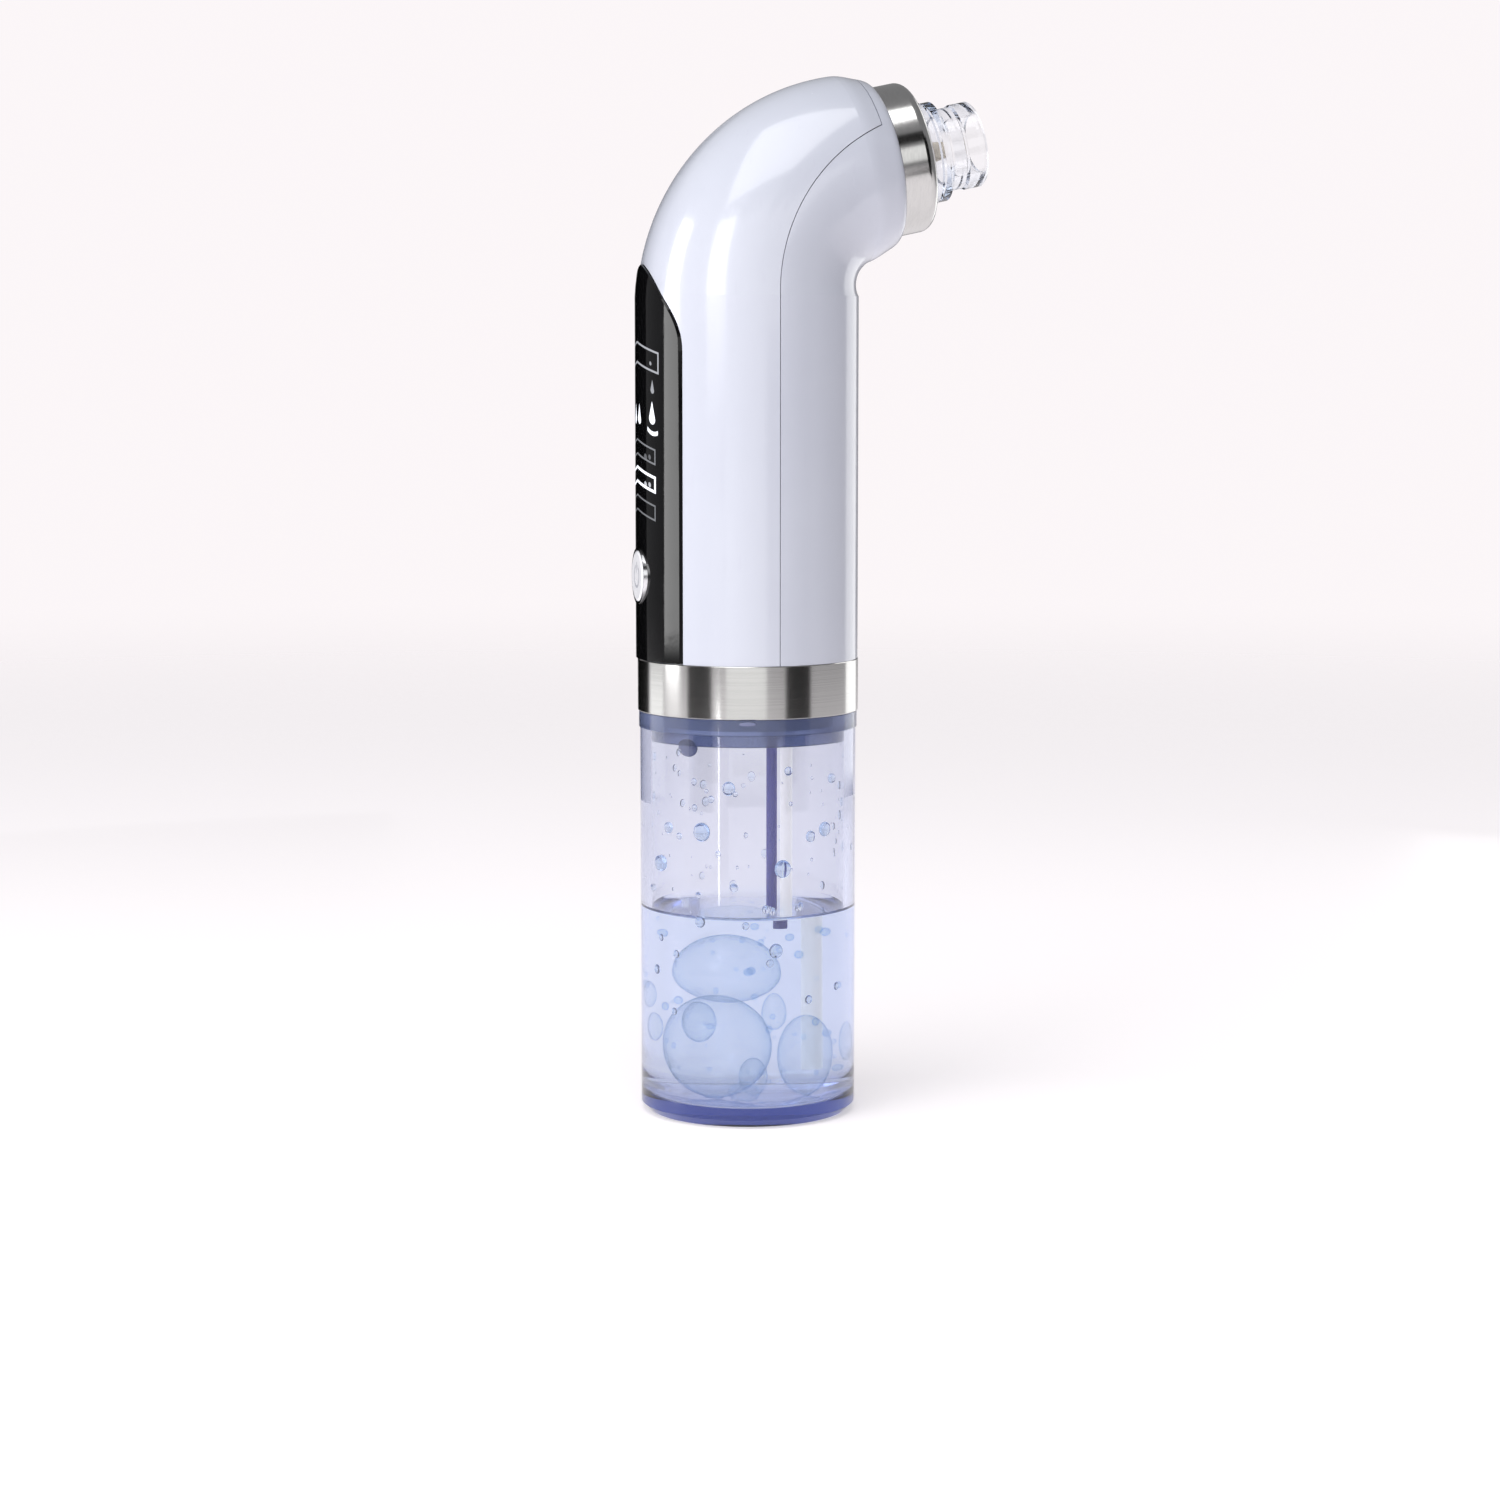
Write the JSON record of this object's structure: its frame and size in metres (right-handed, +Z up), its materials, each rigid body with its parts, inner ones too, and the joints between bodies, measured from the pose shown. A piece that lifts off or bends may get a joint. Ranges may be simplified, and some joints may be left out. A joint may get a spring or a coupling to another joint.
{
  "type": "blackhead vacuum extractor",
  "caption": "Hand-held pore cleaner with an angled suction nozzle, arched display panel, steel band and a clear push-on water tank below the grip.",
  "frame": {"origin": "centre of the water tank's underside, on the surface it stands on", "axes": "+Z up the grip, +X towards the nozzle, -X the display side"},
  "size_m": [0.0645, 0.04, 0.1869],
  "materials": {
    "shell_plastic": "gloss lavender white",
    "display_gloss": "high gloss black",
    "bezel_metal": "bright",
    "button_plastic": "gloss white",
    "trim_steel": "satin",
    "seat_plastic": "satin grey",
    "seal_rubber": "matt",
    "jet_plastic": "cream",
    "clear_plastic": "clear",
    "filter_foam": "open-cell foam",
    "tank_clear": "clear, violet-blue tint",
    "collar_plastic": "translucent blue-grey",
    "pickup_plastic": "cream",
    "return_plastic": "violet-blue",
    "pump_plastic": "moulded black",
    "motor_steel": "plated can",
    "screw_steel": "zinc plated",
    "frame_plastic": "moulded white",
    "board_laminate": "green solder mask",
    "component_black": "moulded black",
    "led_white": "diffuse lens",
    "guide_plastic": "white",
    "cell_wrap": "foil pouch",
    "wire_red": "silicone wire",
    "socket_steel": "drawn shell",
    "hose_silicone": "translucent silicone"
  },
  "bodies": {
    "handle": {"battery_cell": "cell_wrap", "battery_leads": "wire_red", "battery_pad": "filter_foam", "board_components": "component_black", "board_header": "component_black", "button_bezel": "bezel_metal", "charge_board": "board_laminate", "chassis": "frame_plastic", "clamp_screws": "screw_steel", "display_board": "board_laminate", "display_leds": "led_white", "display_lens": "display_gloss", "front_shell": "shell_plastic", "light_guide": "guide_plastic", "main_board": "board_laminate", "manifold": "collar_plastic", "manifold_screws": "screw_steel", "motor_clamp": "pump_plastic", "motor_leads": "wire_red", "nozzle_ring": "trim_steel", "nozzle_seat": "seat_plastic", "pickup_tube": "pickup_plastic", "pump_cover": "pump_plastic", "pump_diaphragm": "seal_rubber", "pump_head": "pump_plastic", "pump_motor": "motor_steel", "pump_screws": "screw_steel", "rear_shell": "shell_plastic", "return_hose": "hose_silicone", "return_tube": "return_plastic", "seat_gasket": "seal_rubber", "shell_screws": "screw_steel", "spray_jet": "jet_plastic", "steel_band": "trim_steel", "suction_hose": "hose_silicone", "supply_hose": "hose_silicone", "tact_switch": "component_black", "tank_gasket": "seal_rubber", "tank_oring": "seal_rubber", "usb_socket": "socket_steel"},
    "tank": {"water_tank": "tank_clear", "tank_collar": "collar_plastic"},
    "tip": {"suction_tip": "clear_plastic", "tip_gasket": "seal_rubber", "filter_sponge": "filter_foam"},
    "button": {"power_button": "button_plastic"},
    "pump_rotor": {"motor_shaft": "screw_steel", "pump_eccentric": "pump_plastic"}
  },
  "joints": [
    {"name": "tank_slide", "type": "slide", "parent": "handle", "child": "tank", "axis": [0, 0, -1], "range_m": [0, 0.08]},
    {"name": "tip_slide", "type": "slide", "parent": "handle", "child": "tip", "axis": [0.9781, 0, 0.2079], "range_m": [0, 0.014]},
    {"name": "button_press", "type": "slide", "parent": "handle", "child": "button", "axis": [1, 0, 0], "range_m": [0, 0.0006], "stiffness_N_per_m": 600, "springref_m": -0.001},
    {"name": "pump_spin", "type": "hinge", "parent": "handle", "child": "pump_rotor", "pos_m": [0.0075, 0, 0.12], "axis": [0, 0, 1], "continuous": true}
  ]
}
